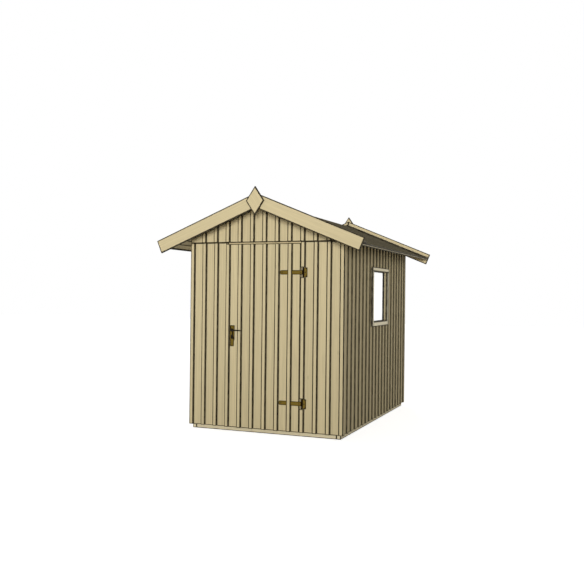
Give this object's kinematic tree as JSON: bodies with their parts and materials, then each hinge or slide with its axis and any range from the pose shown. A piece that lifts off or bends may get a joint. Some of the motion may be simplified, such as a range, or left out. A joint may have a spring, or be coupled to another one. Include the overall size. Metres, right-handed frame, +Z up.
{
  "type": "wooden garden shed",
  "caption": "Gabled garden shed of vertical boards and cover battens on a timber frame, with a ledged door, a side window, bargeboards and diamond finials.",
  "frame": {"origin": "centre of the footprint on the ground, under the base beams", "axes": "+X right along the door wall, +Y from the door wall to the back, +Z up"},
  "size_m": [2.3696, 3.281, 2.6216],
  "materials": {
    "frame_timber": "sawn softwood",
    "wall_boards": "sawn softwood boards",
    "cover_battens": "planed softwood",
    "trim_boards": "planed softwood",
    "roof_boards": "planed softwood",
    "opal_pane": "opal acrylic sheet",
    "black_gasket": "extruded rubber",
    "passivated_steel": "yellow-passivated pressed steel",
    "black_steel": "black enamelled steel"
  },
  "bodies": {
    "shed": {"base_beams": "frame_timber", "floor_joists": "frame_timber", "floor_deck": "frame_timber", "sole_plates": "frame_timber", "corner_posts": "frame_timber", "wall_studs": "frame_timber", "door_posts": "frame_timber", "wall_rails": "frame_timber", "window_trimmers": "frame_timber", "top_plates": "frame_timber", "ridge_beam": "frame_timber", "rafters": "frame_timber", "gable_rafters": "frame_timber", "front_wall": "wall_boards", "door_head_board": "wall_boards", "rear_wall": "wall_boards", "front_gable": "wall_boards", "rear_gable": "wall_boards", "left_wall": "wall_boards", "right_wall_ends": "wall_boards", "right_wall_middle": "wall_boards", "front_wall_battens": "cover_battens", "rear_wall_battens": "cover_battens", "left_wall_battens": "cover_battens", "right_wall_battens": "cover_battens", "gable_battens": "cover_battens", "window_lining": "frame_timber", "window_casings": "trim_boards", "window_gasket": "black_gasket", "window_pane": "opal_pane", "left_roof_boards": "roof_boards", "right_roof_boards": "roof_boards", "eave_strips": "trim_boards", "verge_boards": "trim_boards", "left_bargeboards": "trim_boards", "right_bargeboards": "trim_boards", "finials": "trim_boards", "hinge_flaps": "passivated_steel"},
    "door": {"door_boards": "wall_boards", "door_battens": "cover_battens", "door_ledges": "frame_timber", "door_braces": "frame_timber", "hinge_straps": "passivated_steel", "lock_plate": "passivated_steel", "lock_case": "black_steel"},
    "handle": {"outer_lever": "black_steel", "inner_lever": "black_steel"}
  },
  "joints": [
    {"name": "door_swing", "type": "hinge", "parent": "shed", "child": "door", "pos_m": [0.44, -1.359, 1.038], "axis": [0, 0, 1], "range_deg": [0, 145]},
    {"name": "handle_turn", "type": "hinge", "parent": "door", "child": "handle", "pos_m": [-0.382, -1.3995, 1.1], "axis": [0, 1, 0], "range_deg": [0, 45], "stiffness_Nm_per_rad": 0.8}
  ]
}
